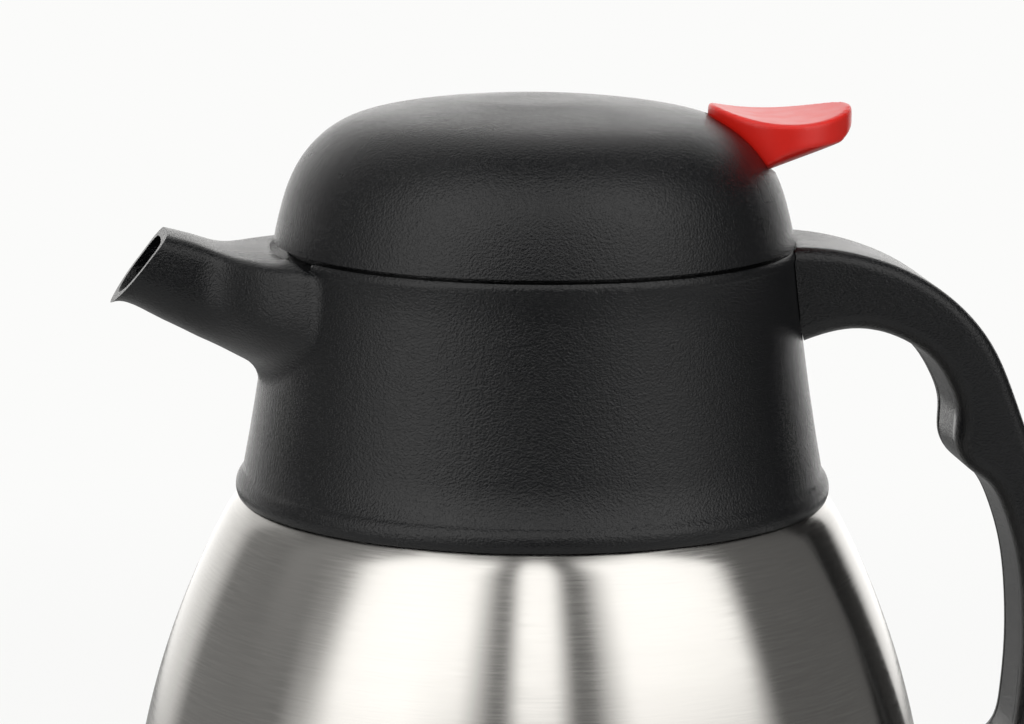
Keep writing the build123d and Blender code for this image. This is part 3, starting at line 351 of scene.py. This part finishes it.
def brushed_steel():
    """Brushed 18/8 stainless: rings of fine scratches draw each reflection out up and down,
    and keep it crisp from side to side."""
    material = new_material("brushed stainless steel")
    tree = material.node_tree
    place = add_node(tree, "ShaderNodeTexCoord").outputs["Object"]
    parts = add_node(tree, "ShaderNodeSeparateXYZ", Vector=place).outputs
    angle = add_node(tree, "ShaderNodeMath", {"operation": "ARCTAN2"}, i0=parts["Y"],
                     i1=parts["X"])
    along = add_node(tree, "ShaderNodeMath", {"operation": "MULTIPLY"}, i0=angle,
                     i1=SCRATCHES_ROUND)
    ring = add_node(tree, "ShaderNodeCombineXYZ", X=along, Z=parts["Z"])
    fine = add_node(tree, "ShaderNodeVectorMath", {"operation": "MULTIPLY"}, i0=ring,
                    i1=(1, 1, SCRATCHES_UP))
    scratches = add_node(tree, "ShaderNodeTexNoise", {"noise_dimensions": "3D"}, Vector=fine,
                         Scale=1.0, Detail=3.0, Roughness=0.65)
    broad = add_node(tree, "ShaderNodeVectorMath", {"operation": "MULTIPLY"}, i0=ring,
                     i1=(BANDS_ROUND, 1, BANDS_UP))
    bands = add_node(tree, "ShaderNodeTexNoise", {"noise_dimensions": "3D"}, Vector=broad,
                     Scale=1.0, Detail=2.0, Roughness=0.5)
    scratch_tone = add_node(tree, "ShaderNodeMapRange", Value=scratches, **NOISE_SPAN,
                            To_Min=0.94, To_Max=1.04)
    band_tone = add_node(tree, "ShaderNodeMapRange", Value=bands, **NOISE_SPAN,
                         To_Min=0.985, To_Max=1.01)
    tone = add_node(tree, "ShaderNodeMath", {"operation": "MULTIPLY"}, i0=scratch_tone,
                    i1=band_tone)
    colour = add_node(tree, "ShaderNodeVectorMath", {"operation": "SCALE"},
                      i0=linear(STEEL_COLOUR)[:3], Scale=tone)
    rough = add_node(tree, "ShaderNodeMapRange", Value=scratches, **NOISE_SPAN,
                     To_Min=0.14, To_Max=0.24)
    bump = add_node(tree, "ShaderNodeBump", Height=scratches, Strength=0.25,
                    Distance=SCRATCH_DEPTH * MM)
    upright = add_node(tree, "ShaderNodeCombineXYZ", Z=1.0)
    skin = add_node(tree, "ShaderNodeBsdfPrincipled", Base_Color=colour, Metallic=1.0,
                    Roughness=rough, Anisotropic=0.95, Tangent=upright, Normal=bump)
    add_node(tree, "ShaderNodeOutputMaterial", Surface=skin)
    return material


STEEL = brushed_steel()
wall = steel_profile(0) + list(reversed(steel_profile(SHELL_WALL)))
shell = finished("flask_steel_body", spin_profile(wall, FULL_TURN_STEPS))
shade(shell, STEEL_CREASE)
dress(shell, STEEL, "body", "outer_shell")


# ---- Liner and base -----------------------------------------------------------------------
# The liner, the welded base, its seal button and the getter disc are plain drawn steel that
# never shows, or shows only from below or with the lid off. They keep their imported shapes.
PICKLED_COLOUR = "#C9C8C5"
MOTTLE_SCALE = 400.0                # patches 2.5 mm across


def plain_steel():
    """Drawn and pickled stainless: an even satin with a faint, soft mottle."""
    material = new_material("pickled stainless steel")
    tree = material.node_tree
    place = add_node(tree, "ShaderNodeTexCoord").outputs["Object"]
    mottle = add_node(tree, "ShaderNodeTexNoise", Vector=place, Scale=MOTTLE_SCALE, Detail=4.0)
    tone = add_node(tree, "ShaderNodeMapRange", Value=mottle, **NOISE_SPAN, To_Min=0.92,
                    To_Max=1.04)
    colour = add_node(tree, "ShaderNodeVectorMath", {"operation": "SCALE"},
                      i0=linear(PICKLED_COLOUR)[:3], Scale=tone)
    rough = add_node(tree, "ShaderNodeMapRange", Value=mottle, To_Min=0.30, To_Max=0.42)
    skin = add_node(tree, "ShaderNodeBsdfPrincipled", Base_Color=colour, Metallic=1.0,
                    Roughness=rough)
    add_node(tree, "ShaderNodeOutputMaterial", Surface=skin)
    return material


def coat_nodes(material, *names):
    """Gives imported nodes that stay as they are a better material."""
    for name in names:
        mesh = nodes[name].data
        mesh.materials.clear()
        mesh.materials.append(material)


PLAIN_STEEL = plain_steel()
coat_nodes(PLAIN_STEEL, "inner_liner", "shell_base", "vacuum_seal", "getter")


# ---- Collar and spout ---------------------------------------------------------------------
# The collar, its spout and the neck tube are one moulding in black polypropylene, from a spark
# eroded tool, which leaves an even, fine grain that breaks up each highlight. A groove round
# the rim, and a shallow seat in the spout's top, take the skirt under the stopper's dome.
PLASTIC_BLACK = "#08090B"
GRAIN, GRAIN_DEPTH = 0.42, 0.16     # the real grain is nearer 0.2, which is too fine to show
UNEVENNESS = 60.0                   # broad patches 17 mm across that vary the sheen
PARTING = 205.0                     # height of the joint between collar and dome
GROOVE_IN, GROOVE_OUT = 42.2, 43.9
SEAT_OUT = 46.7
SEAT_FLOOR, SEAT_HALF_ANGLE = PARTING - 1.5, 26.0       # height, degrees
CUT_TOP = PARTING + 1
RING_STEPS, SEAT_STEPS = 192, 48
PACKED_MERGE, PACKED_SLIVER = 1e-6, 1e-7        # metres
MOULDED_CREASE = 30                 # degrees


def black_plastic():
    """Grained black polypropylene: near black, with a broad soft sheen."""
    material = new_material("grained black polypropylene")
    tree = material.node_tree
    place = add_node(tree, "ShaderNodeTexCoord").outputs["Object"]
    grain = add_node(tree, "ShaderNodeTexNoise", Vector=place, Scale=1 / (GRAIN * MM),
                     Detail=2.0, Roughness=0.6)
    broad = add_node(tree, "ShaderNodeTexNoise", Vector=place, Scale=UNEVENNESS, Detail=3.0)
    tone = add_node(tree, "ShaderNodeMapRange", Value=grain, **NOISE_SPAN, To_Min=0.75,
                    To_Max=1.25)
    colour = add_node(tree, "ShaderNodeVectorMath", {"operation": "SCALE"},
                      i0=linear(PLASTIC_BLACK)[:3], Scale=tone)
    rough = add_node(tree, "ShaderNodeMapRange", Value=broad, **NOISE_SPAN, To_Min=0.22,
                     To_Max=0.28)
    bump = add_node(tree, "ShaderNodeBump", Height=grain, Strength=1.0,
                    Distance=GRAIN_DEPTH * MM)
    skin = add_node(tree, "ShaderNodeBsdfPrincipled", Base_Color=colour, Roughness=rough,
                    IOR=1.49, Normal=bump)
    add_node(tree, "ShaderNodeOutputMaterial", Surface=skin)
    return material


def merged_copy(node, name):
    """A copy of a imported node's mesh with its points merged, so that it can shade smoothly."""
    shape = bmesh.new()
    shape.from_mesh(nodes[node].data)
    bmesh.ops.remove_doubles(shape, verts=shape.verts, dist=PACKED_MERGE)
    bmesh.ops.dissolve_degenerate(shape, dist=PACKED_SLIVER, edges=shape.edges)
    return finished(name, shape)


def square_ring(radii, heights):
    """Whole ring of square section round the upright axis."""
    (inner, outer), (low, high) = radii, heights
    section = [(inner, low), (outer, low), (outer, high), (inner, high)]
    return finished("ring", spin_profile(section, RING_STEPS))


def part_ring(radii, heights, half_angle):
    """Part of a ring of square section, centred on the spout's side."""
    shape = bmesh.new()
    section = ((0, 0), (1, 0), (1, 1), (0, 1))
    corners = [shape.verts.new((radii[i] * MM, 0, heights[j] * MM)) for i, j in section]
    face = shape.faces.new(corners)
    to_spout = Matrix.Rotation(math.radians(180 - half_angle), 3, "Z")
    bmesh.ops.rotate(shape, verts=corners, cent=(0, 0, 0), matrix=to_spout)
    bmesh.ops.spin(shape, geom=[face], cent=(0, 0, 0), axis=(0, 0, 1),
                   angle=math.radians(2 * half_angle), steps=SEAT_STEPS)
    bmesh.ops.recalc_face_normals(shape, faces=shape.faces)
    return finished("cutter", shape)


def discard(piece):
    """Deletes a working piece and its mesh."""
    mesh = piece.data
    bpy.data.objects.remove(piece)
    bpy.data.meshes.remove(mesh)


def cut_away(piece, cutter):
    """Takes a cutter's shape out of a piece for good, and deletes the cutter."""
    cut = piece.modifiers.new("cut", "BOOLEAN")
    cut.operation, cut.solver, cut.object = "DIFFERENCE", "EXACT", cutter
    evaluated = piece.evaluated_get(bpy.context.evaluated_depsgraph_get())
    mesh = bpy.data.meshes.new_from_object(evaluated)
    piece.modifiers.clear()
    piece.data = mesh
    discard(cutter)


BLACK = black_plastic()
collar = merged_copy("collar", "collar_with_spout")
cut_away(collar, square_ring((GROOVE_IN, GROOVE_OUT), (SEAT_FLOOR, CUT_TOP)))
cut_away(collar, part_ring((GROOVE_IN, SEAT_OUT), (SEAT_FLOOR, CUT_TOP), SEAT_HALF_ANGLE))
shade(collar, MOULDED_CREASE)
dress(collar, BLACK, "body", "collar")


# ---- Foot and seals -----------------------------------------------------------------------
# A black moulded foot is pressed into the shell's recess, and an anti-slip disc of silicone
# is bonded into it. The gaskets, the stopper's seals and the valve's plug are the same silicone.
SILICONE_GREY = "#333334"
DUST_SCALE = 300.0                  # patches 3 mm across
DUST_DEPTH = 0.1


def silicone():
    """Dark grey silicone rubber: matt, and a little dusty where it is handled."""
    material = new_material("dark grey silicone")
    tree = material.node_tree
    place = add_node(tree, "ShaderNodeTexCoord").outputs["Object"]
    dust = add_node(tree, "ShaderNodeTexNoise", Vector=place, Scale=DUST_SCALE, Detail=5.0)
    tone = add_node(tree, "ShaderNodeMapRange", Value=dust, From_Min=0.35, From_Max=0.75,
                    To_Min=0.9, To_Max=1.5)
    colour = add_node(tree, "ShaderNodeVectorMath", {"operation": "SCALE"},
                      i0=linear(SILICONE_GREY)[:3], Scale=tone)
    bump = add_node(tree, "ShaderNodeBump", Height=dust, Strength=0.2, Distance=DUST_DEPTH * MM)
    skin = add_node(tree, "ShaderNodeBsdfPrincipled", Base_Color=colour, Roughness=0.7,
                    IOR=1.43, Normal=bump)
    add_node(tree, "ShaderNodeOutputMaterial", Surface=skin)
    return material


SILICONE = silicone()
coat_nodes(BLACK, "base_cap")
coat_nodes(SILICONE, "base_pad", "neck_gasket", "lid_gasket", "stopper_seal", "valve_plug",
           "rod_o_ring")


# ---- Handle -------------------------------------------------------------------------------
# The handle is a second moulding in the same plastic, hollow behind a cover along its inner
# side. It slides down the collar's rail, and one screw holds its lower arm to a steel bracket.
handle = shade(merged_copy("handle", "side_handle"), MOULDED_CREASE)
dress(handle, BLACK, "body", "handle")
cover = shade(merged_copy("handle_cover", "grip_cover"), MOULDED_CREASE)
dress(cover, BLACK, "body", "handle_cover")
coat_nodes(PLAIN_STEEL, "handle_bracket", "handle_screw")
coat_nodes(BLACK, "screw_cap")


# ---- Stopper ------------------------------------------------------------------------------
# The stopper's core screws into the neck. The dome is pressed over its deck and carries the
# same grain as the collar. A short skirt under the dome turns in the groove in the rim, and
# closes the gap between the two.
SKIRT_CLEARANCE = 0.35
SKIRT_TOP = PARTING + 0.5           # inside the dome's edge
dome = merged_copy("lid_dome", "stopper_dome")
skirt = square_ring((GROOVE_IN + SKIRT_CLEARANCE, GROOVE_OUT - SKIRT_CLEARANCE),
                    (SEAT_FLOOR + SKIRT_CLEARANCE, SKIRT_TOP))
dome_and_skirt = bmesh.new()
dome_and_skirt.from_mesh(dome.data)
dome_and_skirt.from_mesh(skirt.data)
dome_and_skirt.to_mesh(dome.data)
dome_and_skirt.free()
discard(skirt)
shade(dome, MOULDED_CREASE)
dress(dome, BLACK, "lid", "lid_dome")
coat_nodes(BLACK, "stopper_body", "plug_carrier", "plug_clip")


# ---- Pouring valve ------------------------------------------------------------------------
# A steel rod runs down through the stopper to a silicone plug, and a coiled steel spring holds
# the plug shut.
SPRING_CREASE = 40                  # degrees
coat_nodes(PLAIN_STEEL, "seal_retainer", "valve_rod", "rod_head")
spring = shade(merged_copy("return_spring", "valve_return_spring"), SPRING_CREASE)
dress(spring, PLAIN_STEEL, "lid", "return_spring")
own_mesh(spring)


# ---- Thumb lever --------------------------------------------------------------------------
# The lever is moulded in red polypropylene with a polished tool, so it is smoother than the
# black parts. Its dished top lies almost edge on to the light and turns pale with its sheen.
LEVER_RED = "#C81C12"
HAZE_SCALE = 250.0                  # patches 4 mm across
HAZE_DEPTH = 0.05
DISH_MIDDLE, DISH_HALF, DISH_RISE = 43.8, 12.8, 0.8
LEVER_VOXEL = 0.35
EASING, EASING_PASSES = 0.5, 8      # how far, and how often, edges are eased
LEVER_CREASE = 60                   # degrees


def red_plastic():
    """Polished red polypropylene: saturated, with a tighter sheen than the black parts."""
    material = new_material("satin red polypropylene")
    tree = material.node_tree
    place = add_node(tree, "ShaderNodeTexCoord").outputs["Object"]
    haze = add_node(tree, "ShaderNodeTexNoise", Vector=place, Scale=HAZE_SCALE, Detail=4.0)
    tone = add_node(tree, "ShaderNodeMapRange", Value=haze, **NOISE_SPAN, To_Min=0.96,
                    To_Max=1.04)
    colour = add_node(tree, "ShaderNodeVectorMath", {"operation": "SCALE"},
                      i0=linear(LEVER_RED)[:3], Scale=tone)
    rough = add_node(tree, "ShaderNodeMapRange", Value=haze, **NOISE_SPAN, To_Min=0.28,
                     To_Max=0.34)
    bump = add_node(tree, "ShaderNodeBump", Height=haze, Strength=0.1, Distance=HAZE_DEPTH * MM)
    skin = add_node(tree, "ShaderNodeBsdfPrincipled", Base_Color=colour, Roughness=rough,
                    IOR=1.5, Normal=bump)
    add_node(tree, "ShaderNodeOutputMaterial", Surface=skin)
    return material


def raise_dish_ends(piece):
    """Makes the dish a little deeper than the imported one: the upper half's two ends rise."""
    low, high = (Vector(corner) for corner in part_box("lever"))
    for vertex in piece.data.vertices:
        share = max(-1.0, min(1.0, (vertex.co.x / MM - DISH_MIDDLE) / DISH_HALF))
        height = (vertex.co.z - low.z) / (high.z - low.z)
        vertex.co.z += DISH_RISE * MM * share ** 2 * max(0.0, 2 * height - 1)


RED = red_plastic()
lever = merged_copy("lever", "thumb_lever")
raise_dish_ends(lever)
skin = lever.modifiers.new("skin", "REMESH")
skin.mode, skin.voxel_size = "VOXEL", LEVER_VOXEL * MM
soft = lever.modifiers.new("soft", "SMOOTH")
soft.factor, soft.iterations = EASING, EASING_PASSES
shade(lever, LEVER_CREASE)
dress(lever, RED, "lever", "lever")
coat_nodes(PLAIN_STEEL, "lever_pin")
